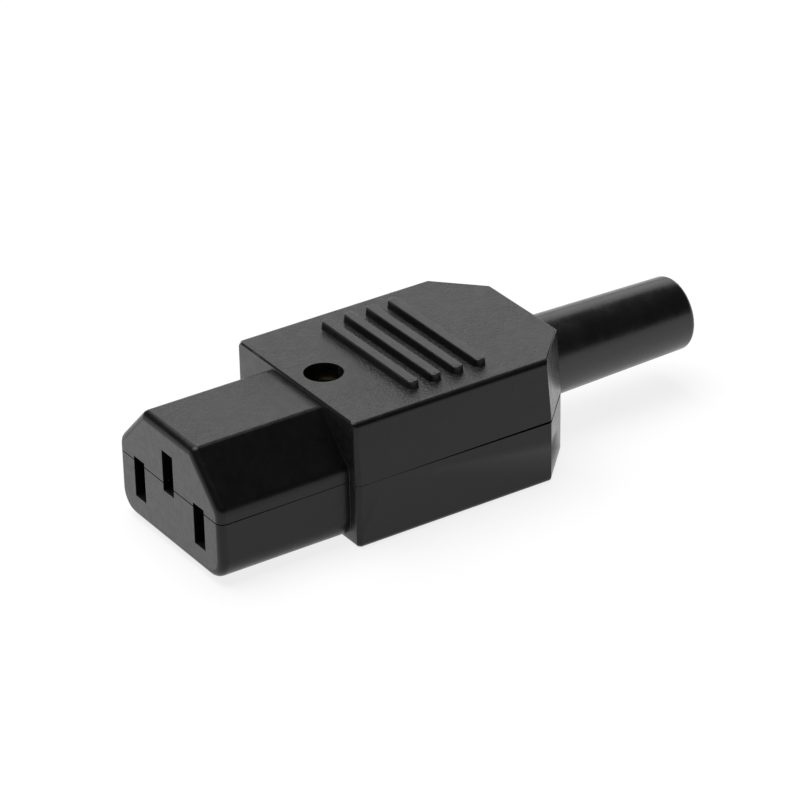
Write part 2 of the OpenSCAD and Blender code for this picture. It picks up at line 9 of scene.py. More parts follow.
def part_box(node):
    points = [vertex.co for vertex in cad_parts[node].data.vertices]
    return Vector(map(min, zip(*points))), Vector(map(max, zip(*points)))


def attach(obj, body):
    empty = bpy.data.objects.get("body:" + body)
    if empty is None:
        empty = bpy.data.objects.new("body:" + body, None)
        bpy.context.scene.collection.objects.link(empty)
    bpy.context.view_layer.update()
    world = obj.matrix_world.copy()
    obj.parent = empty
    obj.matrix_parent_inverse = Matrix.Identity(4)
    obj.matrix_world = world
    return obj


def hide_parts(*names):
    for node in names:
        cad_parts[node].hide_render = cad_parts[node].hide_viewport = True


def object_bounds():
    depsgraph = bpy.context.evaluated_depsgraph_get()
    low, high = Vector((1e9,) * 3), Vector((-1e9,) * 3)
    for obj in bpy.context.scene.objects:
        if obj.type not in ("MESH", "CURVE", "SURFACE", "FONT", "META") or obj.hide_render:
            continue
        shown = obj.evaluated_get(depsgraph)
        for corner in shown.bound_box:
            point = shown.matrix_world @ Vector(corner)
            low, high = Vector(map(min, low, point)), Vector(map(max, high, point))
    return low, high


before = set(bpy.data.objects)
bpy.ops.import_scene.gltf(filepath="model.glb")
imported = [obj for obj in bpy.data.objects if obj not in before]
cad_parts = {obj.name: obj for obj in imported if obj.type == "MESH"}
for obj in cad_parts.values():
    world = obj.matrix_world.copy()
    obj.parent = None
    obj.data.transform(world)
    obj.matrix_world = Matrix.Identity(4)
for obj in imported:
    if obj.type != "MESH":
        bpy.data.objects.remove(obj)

bl_info = {
    "name": "C13 connector",
    "version": (1, 0, 0),
    "blender": (4, 5, 0),
    "location": "3D View > Sidebar > Connector",
    "description": "Dresses the packed C13 connector: shells, grip ribs, sleeve, screws and contacts",
    "category": "Object",
}

CAD_LOW, CAD_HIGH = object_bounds()
BODY = "root"
MM = 0.001

# Order of the finishes on a shell, and how squarely a face looks one way to be a top or a front
PEBBLED, MATT, SATIN, GLOSSY = range(4)
SQUARE_ON = 0.985

RIB_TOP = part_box("upper_shell")[1].z
SLEEVE_LOW, SLEEVE_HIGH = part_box("cord_sleeve")

SCREWS = {
    "housing_screw": "gilt",
    "line_terminal_screw": "slotted",
    "neutral_terminal_screw": "slotted",
    "earth_terminal_screw": "slotted",
    "clamp_screw_left": "cross",
    "clamp_screw_right": "cross",
}
CONTACTS = ("line_contact", "neutral_contact", "earth_contact")
WIRE_CLAMPS = ("line_wire_clamp", "neutral_wire_clamp", "earth_wire_clamp")


# ---- Sizes and colours -----------------------------------------------------------------

def length(name, description, default, smallest=0.0):
    return FloatProperty(name=name, description=description, default=default, min=smallest,
                         unit="LENGTH", precision=5)


def colour(name, description, default):
    return FloatVectorProperty(name=name, description=description, default=default, size=3,
                               min=0.0, max=1.0, subtype="COLOR")


def share(name, description, default):
    return FloatProperty(name=name, description=description, default=default, min=0.0, max=1.0,
                         subtype="FACTOR")


class ShellSettings(bpy.types.PropertyGroup):
    """Finish of the two moulded shells"""
    plastic: colour("Plastic", "Colour of the moulded shells", (0.0040, 0.0040, 0.0045))
    grain_size: length("Grain size", "Width of one pebble of the spark-eroded faces", 0.4 * MM)
    grain_depth: length("Grain depth", "Depth of the pebbles on the top faces", 0.05 * MM)
    speck_depth: length("Speckle depth", "Depth of the fine speckle on the front faces", 0.022 * MM)
    edge_softness: length("Edge softness", "Radius that the mould leaves on every sharp edge", 0.1 * MM)
    top_gloss: share("Top roughness", "Roughness of the pebbled top faces", 0.4)
    front_gloss: share("Front roughness", "Roughness of the matt front faces", 0.42)
    side_gloss: share("Side roughness", "Roughness of the plain sides", 0.3)
    cut_gloss: share("Corner roughness", "Roughness of the slanting corner cuts", 0.26)


class RibSettings(bpy.types.PropertyGroup):
    """Grip ribs across the top"""
    count: IntProperty(name="Ribs", description="Number of grip ribs", default=4, min=1, max=6)
    pitch: length("Pitch", "Distance from one rib to the next", 3.27 * MM)
    span: length("Length", "Length of a rib over its round ends", 20.5 * MM)
    width: length("Width", "Width of a rib at its root", 1.6 * MM)
    front_gap: length("First rib", "Distance from the body's front to the middle of the first rib", 10.9 * MM)
    nose: length("Nose", "Length of the nose in front of the body", 18.3 * MM)
    edge: length("Edge radius", "Rounding of a rib's top edges", 0.2 * MM)
    foot: length("Foot radius", "Hollow where a rib meets the top", 0.06 * MM)
    draft: length("Draft", "Inward lean of a rib's walls over their height", 0.06 * MM)


class SleeveSettings(bpy.types.PropertyGroup):
    """Flexible sleeve at the cord outlet"""
    rubber: colour("Rubber", "Colour of the flexible sleeve", (0.0045, 0.0045, 0.005))
    free_length: length("Free length", "Length of the sleeve behind the body", 23.6 * MM)
    root: length("Root diameter", "Diameter where the sleeve leaves the body", 10.8 * MM)
    tip: length("Tip diameter", "Diameter at the free end", 9.8 * MM)
    bore: length("Bore", "Diameter of the bore for the cord", 7.4 * MM)
    flange: length("Flange thickness", "Thickness of the flange held inside the body", 1.8 * MM)
    neck_gap: length("Neck gap", "Clearance between the sleeve's neck and the body", 0.1 * MM)
    lip: length("Lip radius", "Rounding of the free end", 0.8 * MM)
    segments: IntProperty(name="Segments", description="Steps round the sleeve", default=160, min=24, max=360)


class ScrewSettings(bpy.types.PropertyGroup):
    """Housing, terminal and clamp screws"""
    zinc: colour("Zinc", "Colour of the plated steel screws", (0.62, 0.63, 0.65))
    # The gilt is darker than bare yellow-passivated steel: painted shade, so that the deep screw hole stays dark
    gilt: colour("Gilt", "Colour of the yellow-passivated housing screw", (0.42, 0.33, 0.19))
    thread_pitch: length("Thread pitch", "Advance of the machine threads in one turn", 0.5 * MM)
    coarse_pitch: length("Coarse pitch", "Advance of the thread-forming threads in one turn", 0.95 * MM)
    thread_depth: length("Thread depth", "Depth of the threads", 0.26 * MM)
    recess: length("Recess width", "Width of a slot or of an arm of a cross", 0.75 * MM)


class MetalSettings(bpy.types.PropertyGroup):
    """Brass contacts, wire clamps and the cord clamp"""
    brass: colour("Brass", "Colour of the folded brass contacts", (0.78, 0.55, 0.22))
    plate: colour("Plate", "Colour of the plated wire clamps", (0.6, 0.61, 0.63))
    fibre: colour("Clamp", "Colour of the moulded cord clamp", (0.03, 0.03, 0.032))


class StageSettings(bpy.types.PropertyGroup):
    """Floor, light and camera"""
    floor: colour("Floor", "Colour of the floor", (1.0, 1.0, 1.0))
    shade: share("Shadow depth", "Share of the floor's brightness that the object can shade", 0.22)
    azimuth: FloatProperty(name="Azimuth", description="Direction of the camera round the connector",
                           default=math.radians(57.22), subtype="ANGLE")
    elevation: FloatProperty(name="Elevation", description="Height of the camera above the horizon",
                             default=math.radians(28.59), subtype="ANGLE")
    roll: FloatProperty(name="Roll", description="Turn of the camera about its own axis",
                        default=math.radians(-1.426), subtype="ANGLE")
    distance: length("Distance", "Distance of the camera from the point that it looks at", 515.83 * MM)
    lens: FloatProperty(name="Lens", description="Focal length on a 36 mm wide sensor, in millimetres",
                        default=185.93, min=10.0)
    aim: FloatVectorProperty(
        name="Aim", description="Point that the camera looks at, from the middle of the connector",
        default=(-1.743 * MM, -3.329 * MM, -0.375 * MM), size=3, subtype="TRANSLATION", unit="LENGTH")
    key: FloatProperty(name="Key light", description="Power of the overhead lamp, in watts", default=11.0, min=0.0)
    back: FloatProperty(name="Back light", description="Power of the low lamp behind the connector, in watts",
                        default=2.6, min=0.0)
    fill: FloatProperty(name="Fill", description="Brightness of the room", default=0.07, min=0.0)


# ---- Node trees ------------------------------------------------------------------------

class Wiring:
    """Lays and joins the nodes of one tree."""

    def __init__(self, tree):
        self.tree = tree

    def lay(self, kind, inputs=None, **settings):
        """A new node with its settings. A socket among the inputs is joined, anything else is its value."""
        node = self.tree.nodes.new(kind)
        for name, value in settings.items():
            setattr(node, name, value)
        for name, value in (inputs or {}).items():
            self.feed(node.inputs[name], value)
        return node

    def feed(self, socket, value):
        if isinstance(value, bpy.types.NodeSocket):
            self.tree.links.new(value, socket)
        else:
            socket.default_value = value

    def sum_up(self, operation, *values):
        """Output of a Math node."""
        return self.lay("ShaderNodeMath", dict(enumerate(values)), operation=operation).outputs[0]

    def ramp(self, value, low, high, to_low=0.0, to_high=1.0):
        """The value eased from one range to another and held at both ends."""
        node = self.lay("ShaderNodeMapRange", {
            "Value": value, "From Min": low, "From Max": high, "To Min": to_low, "To Max": to_high},
            interpolation_type="SMOOTHSTEP")
        return node.outputs["Result"]

    def noise(self, place, scale, detail=2.0, roughness=0.5, distortion=0.0):
        return self.lay("ShaderNodeTexNoise", {
            "Vector": place, "Scale": scale, "Detail": detail, "Roughness": roughness,
            "Distortion": distortion}).outputs["Fac"]

    def stretched(self, place, scale, turn=(0.0, 0.0, 0.0)):
        return self.lay("ShaderNodeMapping", {"Vector": place, "Scale": scale, "Rotation": turn}).outputs["Vector"]


def new_material(name, metallic=0.0, ior=1.5):
    """A node material with its shader, and the wiring to add to it."""
    material = bpy.data.materials.new(name)
    material.use_nodes = True
    shader = material.node_tree.nodes["Principled BSDF"]
    shader.inputs["Metallic"].default_value = metallic
    shader.inputs["IOR"].default_value = ior
    return material, Wiring(material.node_tree), shader


def blend_colours(wires, factor, first, second):
    node = wires.lay("ShaderNodeMix", data_type="RGBA")
    wires.feed(node.inputs[0], factor)
    wires.feed(node.inputs[6], first if isinstance(first, bpy.types.NodeSocket) else (*first, 1.0))
    wires.feed(node.inputs[7], second if isinstance(second, bpy.types.NodeSocket) else (*second, 1.0))
    return node.outputs[2]


def moulded_plastic(name, settings, ior, roughness, pebbles=0.0, speckle=0.0):
    """Black moulded plastic. Pebbles and speckle are the depths of the two textures that spark
    erosion leaves in a mould. A rare hair-thin scuff, dust and rubbed patches lie on top."""
    material, wires, shader = new_material(name, ior=ior)
    place = wires.lay("ShaderNodeTexCoord").outputs["Object"]
    per_pebble = 1.0 / settings.grain_size

    # Pebbles of two sizes with creases between them, flattened in patches by handling
    cells = wires.lay("ShaderNodeTexVoronoi", {
        "Vector": place, "Scale": per_pebble, "Smoothness": 0.5, "Randomness": 1.0},
        feature="SMOOTH_F1").outputs["Distance"]
    creases = wires.noise(place, per_pebble * 1.1, 3.0, 0.6, 0.5)
    leather = wires.sum_up("SUBTRACT", wires.sum_up("MULTIPLY", creases, 1.6),
                           wires.sum_up("MULTIPLY", cells, 0.8))
    rubbed = wires.ramp(wires.noise(place, 105.0, 2.0, 0.5), 0.38, 0.66, 1.25, 0.7)
    relief = wires.sum_up("MULTIPLY", leather, wires.sum_up("MULTIPLY", rubbed, pebbles / MM))
    grit = wires.noise(place, per_pebble * 1.7, 2.0, 0.6)
    relief = wires.sum_up("ADD", relief, wires.sum_up("MULTIPLY", grit, (speckle + 0.0012 * MM) / MM))
    swell = wires.noise(place, 130.0, 1.0, 0.5)
    relief = wires.sum_up("ADD", relief, wires.sum_up("MULTIPLY", swell, 0.02))
    soft_edge = wires.lay("ShaderNodeBevel", {"Radius": settings.edge_softness}, samples=6)
    bump = wires.lay("ShaderNodeBump", {
        "Height": relief, "Distance": MM, "Strength": 1.0, "Normal": soft_edge.outputs["Normal"]})
    wires.feed(shader.inputs["Normal"], bump.outputs["Normal"])

    # Scuffs and a few specks of dust
    drawn_out = wires.stretched(place, (500.0, 1900.0, 500.0), (0.5, 0.35, 0.9))
    scuff = wires.ramp(wires.noise(drawn_out, 0.3, 1.0, 0.4), 0.79, 0.81)
    specks = wires.lay("ShaderNodeTexVoronoi", {"Vector": place, "Scale": 300.0, "Randomness": 1.0},
                       feature="F1").outputs["Distance"]
    speck_gate = wires.ramp(wires.noise(place, 120.0, 1.0, 0.5), 0.69, 0.71)
    dust = wires.sum_up("MULTIPLY", wires.ramp(specks, 0.016, 0.03, 1.0, 0.0), speck_gate)
    pale = wires.sum_up("MAXIMUM", wires.sum_up("MULTIPLY", scuff, 0.3), wires.sum_up("MULTIPLY", dust, 0.45))
    mottle = wires.ramp(wires.noise(place, 420.0, 3.0, 0.6), 0.3, 0.7, 0.0, 1.0)
    deep = tuple(c * 0.8 for c in settings.plastic)
    rim = tuple(min(1.0, c * 1.2) for c in settings.plastic)
    body = blend_colours(wires, mottle, deep, rim)
    wires.feed(shader.inputs["Base Color"], blend_colours(wires, pale, body, (0.09, 0.09, 0.09)))

    sheen = wires.ramp(wires.noise(place, 900.0, 3.0, 0.6), 0.3, 0.7, roughness - 0.03, roughness + 0.04)
    wires.feed(shader.inputs["Roughness"], sheen)
    return material


def soft_rubber(name, settings):
    """Dull flexible PVC with faint rings from the tool and a cloudy, powdery bloom."""
    material, wires, shader = new_material(name, ior=1.55)
    place = wires.lay("ShaderNodeTexCoord").outputs["Object"]
    bloom = wires.noise(place, 260.0, 3.0, 0.6)
    powder = wires.noise(place, 5200.0, 2.0, 0.6)
    rings = wires.noise(wires.stretched(place, (40.0, 2400.0, 40.0)), 1.0, 2.0, 0.5)
    relief = wires.sum_up("ADD", wires.sum_up("MULTIPLY", powder, 0.006), wires.sum_up("MULTIPLY", rings, 0.004))
    relief = wires.sum_up("ADD", relief, wires.sum_up("MULTIPLY", bloom, 0.03))
    bump = wires.lay("ShaderNodeBump", {"Height": relief, "Distance": MM, "Strength": 1.0})
    wires.feed(shader.inputs["Normal"], bump.outputs["Normal"])
    dark = tuple(c * 0.85 for c in settings.rubber)
    pale = tuple(min(1.0, c * 1.25) for c in settings.rubber)
    wires.feed(shader.inputs["Base Color"], blend_colours(wires, wires.ramp(bloom, 0.35, 0.7), dark, pale))
    wires.feed(shader.inputs["Roughness"], wires.ramp(bloom, 0.3, 0.7, 0.22, 0.3))
    return material


def rolled_metal(name, base, roughness, along, dull=0.6):
    """Bare or plated metal: fine drawing lines, dull clouds and a little darkening in patches."""
    material, wires, shader = new_material(name, metallic=1.0)
    place = wires.lay("ShaderNodeTexCoord").outputs["Object"]
    lines = wires.noise(wires.stretched(place, along), 1.0, 3.0, 0.6)
    cloud = wires.noise(place, 520.0, 3.0, 0.6)
    pits = wires.noise(place, 9000.0, 2.0, 0.5)
    tarnish = tuple(c * dull for c in base)
    wires.feed(shader.inputs["Base Color"], blend_colours(wires, wires.ramp(cloud, 0.45, 0.8), base, tarnish))
    streaks = wires.ramp(lines, 0.25, 0.75, roughness - 0.08, roughness + 0.12)
    wires.feed(shader.inputs["Roughness"], wires.sum_up("ADD", streaks, wires.ramp(cloud, 0.4, 0.8, 0.0, 0.1)))
    relief = wires.sum_up("ADD", wires.sum_up("MULTIPLY", lines, 0.004), wires.sum_up("MULTIPLY", pits, 0.002))
    soft_edge = wires.lay("ShaderNodeBevel", {"Radius": 0.06 * MM}, samples=4)
    bump = wires.lay("ShaderNodeBump", {
        "Height": relief, "Distance": MM, "Strength": 1.0, "Normal": soft_edge.outputs["Normal"]})
    wires.feed(shader.inputs["Normal"], bump.outputs["Normal"])
    return material


# ---- Meshes ----------------------------------------------------------------------------

def finish_piece(piece, replaced):
    """Settles a finished piece on the connector's one body."""
    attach(piece, BODY)
    if replaced:
        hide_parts(*replaced)


def link(name, mesh):
    piece = bpy.data.objects.new(name, mesh)
    bpy.context.scene.collection.objects.link(piece)
    return piece


def settle(piece):
    """Turns what the modifiers make into the piece's own plain mesh."""
    graph = bpy.context.evaluated_depsgraph_get()
    mesh = bpy.data.meshes.new_from_object(piece.evaluated_get(graph), preserve_all_data_layers=True,
                                           depsgraph=graph)
    if not mesh.polygons:
        raise RuntimeError(piece.name + " came out empty")
    if not all(mesh.materials):
        finish = next(m for m in mesh.materials if m)
        mesh.materials.clear()
        mesh.materials.append(finish)
        mesh.polygons.foreach_set("material_index", [0] * len(mesh.polygons))
    mesh.name = piece.name
    piece.modifiers.clear()
    piece.data = mesh


def smooth(mesh, angle=32.0):
    for polygon in mesh.polygons:
        polygon.use_smooth = True
    mesh.set_sharp_from_angle(angle=math.radians(angle))


def grow(tree, name, mesh, inputs):
    """A piece grown from a mesh by a node tree, with the tree's inputs given by name."""
    piece = link(name, mesh)
    modifier = piece.modifiers.new(tree.name, "NODES")
    modifier.node_group = tree
    sockets = {s.name: s.identifier for s in tree.interface.items_tree if s.in_out == "INPUT"}
    for title, value in inputs.items():
        modifier[sockets[title]] = value
    settle(piece)
    return piece


def new_tree(name, sizes, counts=()):
    """An empty geometry tree with its named inputs."""
    tree = bpy.data.node_groups.new(name, "GeometryNodeTree")
    tree.interface.new_socket("Geometry", in_out="INPUT", socket_type="NodeSocketGeometry")
    for title in sizes:
        tree.interface.new_socket(title, in_out="INPUT", socket_type="NodeSocketFloat")
    for title in counts:
        tree.interface.new_socket(title, in_out="INPUT", socket_type="NodeSocketInt")
    tree.interface.new_socket("Material", in_out="INPUT", socket_type="NodeSocketMaterial")
    tree.interface.new_socket("Geometry", in_out="OUTPUT", socket_type="NodeSocketGeometry")
    wires = Wiring(tree)
    return tree, wires, wires.lay("NodeGroupInput").outputs


def end_tree(wires, shape, material):
    real = wires.lay("GeometryNodeRealizeInstances", {"Geometry": shape})
    painted = wires.lay("GeometryNodeSetMaterial", {"Geometry": real.outputs[0], "Material": material})
    wires.lay("NodeGroupOutput", {"Geometry": painted.outputs[0]})


def shell_mesh(node, rib_height):
    """The node's shell as one joined mesh. Whatever stands above rib_height is taken off and the
    openings that it leaves are closed."""
    work = bmesh.new()
    work.from_mesh(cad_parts[node].data)
    bmesh.ops.remove_doubles(work, verts=work.verts, dist=1e-7)
    tall = [f for f in work.faces if any(v.co.z > rib_height for v in f.verts)]
    if tall:
        bmesh.ops.delete(work, geom=tall, context="FACES")
        rims = [e for e in work.edges if e.is_boundary]
        bmesh.ops.holes_fill(work, edges=rims, sides=0)
        bmesh.ops.triangulate(work, faces=[f for f in work.faces if len(f.verts) > 4])
    bmesh.ops.dissolve_degenerate(work, edges=work.edges, dist=1e-8)
    mesh = bpy.data.meshes.new(node)
    work.to_mesh(mesh)
    work.free()
    for stale in ("custom_normal", "sharp_edge", "sharp_face"):
        if stale in mesh.attributes:
            mesh.attributes.remove(mesh.attributes[stale])
    return mesh


def share_out(mesh):
    """Gives each face of a shell its finish by the way it faces: pebbled tops, matt fronts, glossy corner cuts,
    and satin sides and rounded edges. The textures are the mould's own; the stronger or weaker reflection given to
    each side is painted light."""
    for polygon in mesh.polygons:
        n = polygon.normal
        if n.z > SQUARE_ON:
            polygon.material_index = PEBBLED
        elif n.y < -SQUARE_ON:
            polygon.material_index = MATT
        elif n.y > 0.5 and abs(n.x) > 0.5:
            polygon.material_index = GLOSSY
        else:
            polygon.material_index = SATIN


def even_out(piece):
    """Shades large faces flat, so that only the rounded edges between them bend the light."""
    weigh = piece.modifiers.new("Even faces", "WEIGHTED_NORMAL")
    weigh.keep_sharp = True
    weigh.weight = 80
    settle(piece)


def rib_tree():
    """Grip ribs: one rib's profile is swept round its outline, then repeated."""
    tree, wires, given = new_tree("Grip ribs", ("Pitch", "Length", "Width", "Height", "Edge Radius",
                                               "Foot Radius", "Draft", "First Y", "Base Z"),
                                  ("Count", "Steps"))
    half = wires.sum_up("DIVIDE", given["Width"], 2.0)
    outline = wires.lay("GeometryNodeCurvePrimitiveQuadrilateral", {"Width": given["Length"],
                                                                   "Height": given["Width"]}, mode="RECTANGLE")
    # A hair less than half the width keeps the two round corners of an end from meeting in one point
    outline = wires.lay("GeometryNodeFilletCurve", {"Curve": outline.outputs[0],
                                                   "Radius": wires.sum_up("MULTIPLY", half, 0.98),
                                                   "Count": given["Steps"], "Limit Radius": True}, mode="POLY")
    points = []

    def corner(across, up):
        place = wires.lay("ShaderNodeCombineXYZ", {"X": across, "Y": wires.sum_up("MULTIPLY", up, -1.0)})
        points.append(place.outputs[0])

    edge, foot, draft, height = (given[k] for k in ("Edge Radius", "Foot Radius", "Draft", "Height"))
    steps = 6
    sink = wires.sum_up("MULTIPLY", foot, -1.0)
    middle = wires.sum_up("MULTIPLY", half, -1.0)
    corner(middle, sink)
    corner(foot, sink)
    turns = [math.radians(90.0 * k / steps) for k in range(steps + 1)]
    for turn in turns:
        corner(wires.sum_up("MULTIPLY", foot, 1.0 - math.sin(turn)),
               wires.sum_up("MULTIPLY", foot, 1.0 - math.cos(turn)))
    wall = wires.sum_up("MULTIPLY", wires.sum_up("ADD", draft, edge), -1.0)
    shoulder = wires.sum_up("SUBTRACT", height, edge)
    for turn in turns:
        corner(wires.sum_up("ADD", wall, wires.sum_up("MULTIPLY", edge, math.cos(turn))),
               wires.sum_up("ADD", shoulder, wires.sum_up("MULTIPLY", edge, math.sin(turn))))
    corner(middle, height)

    line = wires.lay("GeometryNodeMeshLine", {"Count": len(points)})
    index = wires.lay("GeometryNodeInputIndex").outputs[0]
    chosen = wires.lay("GeometryNodeIndexSwitch", data_type="VECTOR")
    while len(chosen.index_switch_items) < len(points):
        chosen.index_switch_items.new()
    wires.feed(chosen.inputs["Index"], index)
    for k, place in enumerate(points):
        wires.feed(chosen.inputs[str(k)], place)
    line = wires.lay("GeometryNodeSetPosition", {"Geometry": line.outputs[0], "Position": chosen.outputs[0]})
    profile = wires.lay("GeometryNodeMeshToCurve", {"Mesh": line.outputs[0]})
    rib = wires.lay("GeometryNodeCurveToMesh", {"Curve": outline.outputs[0], "Profile Curve": profile.outputs[0]})
    rib = wires.lay("GeometryNodeMergeByDistance", {"Geometry": rib.outputs[0], "Distance": 2e-6})
    base = wires.lay("ShaderNodeCombineXYZ", {"Y": given["First Y"], "Z": given["Base Z"]})
    step = wires.lay("ShaderNodeCombineXYZ", {"Y": given["Pitch"]})
    row = wires.lay("GeometryNodeMeshLine", {"Count": given["Count"], "Start Location": base.outputs[0],
                                            "Offset": step.outputs[0]})
    ribs = wires.lay("GeometryNodeInstanceOnPoints", {"Points": row.outputs[0], "Instance": rib.outputs[0]})
    end_tree(wires, ribs.outputs[0], given["Material"])
    return tree


def turning_grid(wires, rings, segments):
    """A flat grid to be wrapped round an axis, with each point's ring and its turn."""
    columns = wires.sum_up("ADD", segments, 1.0)
    grid = wires.lay("GeometryNodeMeshGrid", {"Vertices X": rings, "Vertices Y": columns})
    index = wires.lay("GeometryNodeInputIndex").outputs[0]
    ring = wires.sum_up("FLOOR", wires.sum_up("DIVIDE", wires.sum_up("ADD", index, 0.5), columns))
    column = wires.sum_up("SUBTRACT", index, wires.sum_up("MULTIPLY", ring, columns))
    turn = wires.sum_up("DIVIDE", wires.sum_up("MULTIPLY", column, 2.0 * math.pi), segments)
    return grid.outputs[0], ring, turn


def lathe_tree():
    """A round piece: the profile in the mesh, distance from the axis as X and height as Z, is turned
    about the connector's long axis."""
    tree, wires, given = new_tree("Turned piece", ("Axis X", "Axis Z"), ("Segments",))
    size = wires.lay("GeometryNodeAttributeDomainSize", {"Geometry": given["Geometry"]}, component="MESH")
    grid, ring, turn = turning_grid(wires, size.outputs["Point Count"], given["Segments"])
    source = wires.lay("GeometryNodeSampleIndex", {"Geometry": given["Geometry"], "Index": ring},
                       data_type="FLOAT_VECTOR", domain="POINT")
    wires.feed(source.inputs["Value"], wires.lay("GeometryNodeInputPosition").outputs[0])
    parts = wires.lay("ShaderNodeSeparateXYZ", {0: source.outputs[0]})
    across = wires.sum_up("MULTIPLY", parts.outputs["X"], wires.sum_up("COSINE", turn))
    up = wires.sum_up("MULTIPLY", parts.outputs["X"], wires.sum_up("SINE", turn))
    place = wires.lay("ShaderNodeCombineXYZ", {
        "X": wires.sum_up("ADD", across, given["Axis X"]), "Y": parts.outputs["Z"],
        "Z": wires.sum_up("ADD", up, given["Axis Z"])})
    turned = wires.lay("GeometryNodeSetPosition", {"Geometry": grid, "Position": place.outputs[0]})
    turned = wires.lay("GeometryNodeMergeByDistance", {"Geometry": turned.outputs[0], "Distance": 1e-7})
    end_tree(wires, turned.outputs[0], given["Material"])
    return tree


def screw_tree():
    """A pan-head screw, upright with its seat at the given place: crowned head with a slot or a cross,
    shank with a pointed end, and a helical thread."""
    tree, wires, given = new_tree("Pan-head screw", (
        "Head Diameter", "Head Height", "Shank Diameter", "Shank Length", "Thread Pitch", "Thread Depth",
        "Recess Width", "Recess Length", "Recess Depth", "Seat X", "Seat Y", "Seat Z"),
        ("Recess Arms", "Segments"))
    head_r = wires.sum_up("DIVIDE", given["Head Diameter"], 2.0)
    rings = 14
    grid, ring, turn = turning_grid(wires, rings + 1, given["Segments"])
    lean = wires.sum_up("MULTIPLY", wires.sum_up("MINIMUM", ring, rings - 1.0), 0.5 * math.pi / (rings - 1.0))
    inside = wires.sum_up("LESS_THAN", ring, rings - 0.5)
    radius = wires.sum_up("POWER", wires.sum_up("SINE", lean), 0.36)
    radius = wires.sum_up("MULTIPLY", wires.sum_up("MULTIPLY", radius, head_r), inside)
    rise = wires.sum_up("POWER", wires.sum_up("MAXIMUM", wires.sum_up("COSINE", lean), 0.0), 0.36)
    rise = wires.sum_up("MULTIPLY", rise, given["Head Height"])
    place = wires.lay("ShaderNodeCombineXYZ", {
        "X": wires.sum_up("MULTIPLY", radius, wires.sum_up("COSINE", turn)),
        "Y": wires.sum_up("MULTIPLY", radius, wires.sum_up("SINE", turn)), "Z": rise})
    head = wires.lay("GeometryNodeSetPosition", {"Geometry": grid, "Position": place.outputs[0]})
    head = wires.lay("GeometryNodeMergeByDistance", {"Geometry": head.outputs[0], "Distance": 1e-7})

    # Slot or cross, as a bar turned into place once for each arm
    bar_size = wires.lay("ShaderNodeCombineXYZ", {
        "X": given["Recess Length"], "Y": given["Recess Width"],
        "Z": wires.sum_up("MULTIPLY", given["Recess Depth"], 2.0)})
    bar = wires.lay("GeometryNodeMeshCube", {"Size": bar_size.outputs[0]})
    top = wires.lay("ShaderNodeCombineXYZ", {"Z": given["Head Height"]})
    arms = wires.lay("GeometryNodeMeshLine", {"Count": given["Recess Arms"], "Start Location": top.outputs[0],
                                             "Offset": (0.0, 0.0, 1e-6)})
    quarter = wires.lay("ShaderNodeCombineXYZ", {"Z": wires.sum_up(
        "MULTIPLY", wires.lay("GeometryNodeInputIndex").outputs[0], math.pi / 2.0)})
    arms = wires.lay("GeometryNodeInstanceOnPoints", {"Points": arms.outputs[0], "Instance": bar.outputs[0],
                                                     "Rotation": quarter.outputs[0]})
    arms = wires.lay("GeometryNodeRealizeInstances", {"Geometry": arms.outputs[0]})
    cut = wires.lay("GeometryNodeMeshBoolean", operation="DIFFERENCE", solver="EXACT")
    wires.feed(cut.inputs["Mesh 1"], head.outputs[0])
    wires.feed(cut.inputs["Mesh 2"], arms.outputs[0])
    cut.inputs["Self Intersection"].default_value = True

    # Shank with a pointed end
    core_r = wires.sum_up("SUBTRACT", wires.sum_up("DIVIDE", given["Shank Diameter"], 2.0), given["Thread Depth"])
    point = wires.sum_up("MULTIPLY", core_r, 0.7)
    stem = wires.sum_up("SUBTRACT", given["Shank Length"], point)
    shank = wires.lay("GeometryNodeMeshCylinder", {"Vertices": given["Segments"], "Radius": core_r, "Depth": stem})
    down = wires.lay("ShaderNodeCombineXYZ", {"Z": wires.sum_up("MULTIPLY", stem, -0.5)})
    shank = wires.lay("GeometryNodeTransform", {"Geometry": shank.outputs["Mesh"], "Translation": down.outputs[0]})
    tip = wires.lay("GeometryNodeMeshCone", {"Vertices": given["Segments"],
                                            "Radius Top": wires.sum_up("MULTIPLY", core_r, 0.35),
                                            "Radius Bottom": core_r, "Depth": point})
    foot = wires.lay("ShaderNodeCombineXYZ", {"Z": wires.sum_up("MULTIPLY", stem, -1.0)})
    tip = wires.lay("GeometryNodeTransform", {"Geometry": tip.outputs["Mesh"], "Translation": foot.outputs[0],
                                             "Rotation": (math.pi, 0.0, 0.0)})

    # Helical thread, a ridge swept along a spiral
    run = wires.sum_up("SUBTRACT", stem, wires.sum_up("MULTIPLY", given["Thread Pitch"], 0.5))
    spiral = wires.lay("GeometryNodeCurveSpiral", {
        "Resolution": 24, "Rotations": wires.sum_up("DIVIDE", run, given["Thread Pitch"]),
        "Start Radius": core_r, "End Radius": core_r, "Height": run})
    low = wires.lay("ShaderNodeCombineXYZ", {"Z": wires.sum_up("MULTIPLY", stem, -1.0)})
    spiral = wires.lay("GeometryNodeTransform", {"Geometry": spiral.outputs[0], "Translation": low.outputs[0]})
    ridge = wires.lay("GeometryNodeCurvePrimitiveCircle", {"Resolution": 4, "Radius": given["Thread Depth"]},
                      mode="RADIUS")
    spiral = wires.lay("GeometryNodeSetCurveNormal", {"Curve": spiral.outputs[0]}, mode="Z_UP")
    thread = wires.lay("GeometryNodeCurveToMesh", {"Curve": spiral.outputs[0], "Profile Curve": ridge.outputs[0],
                                                  "Fill Caps": True})

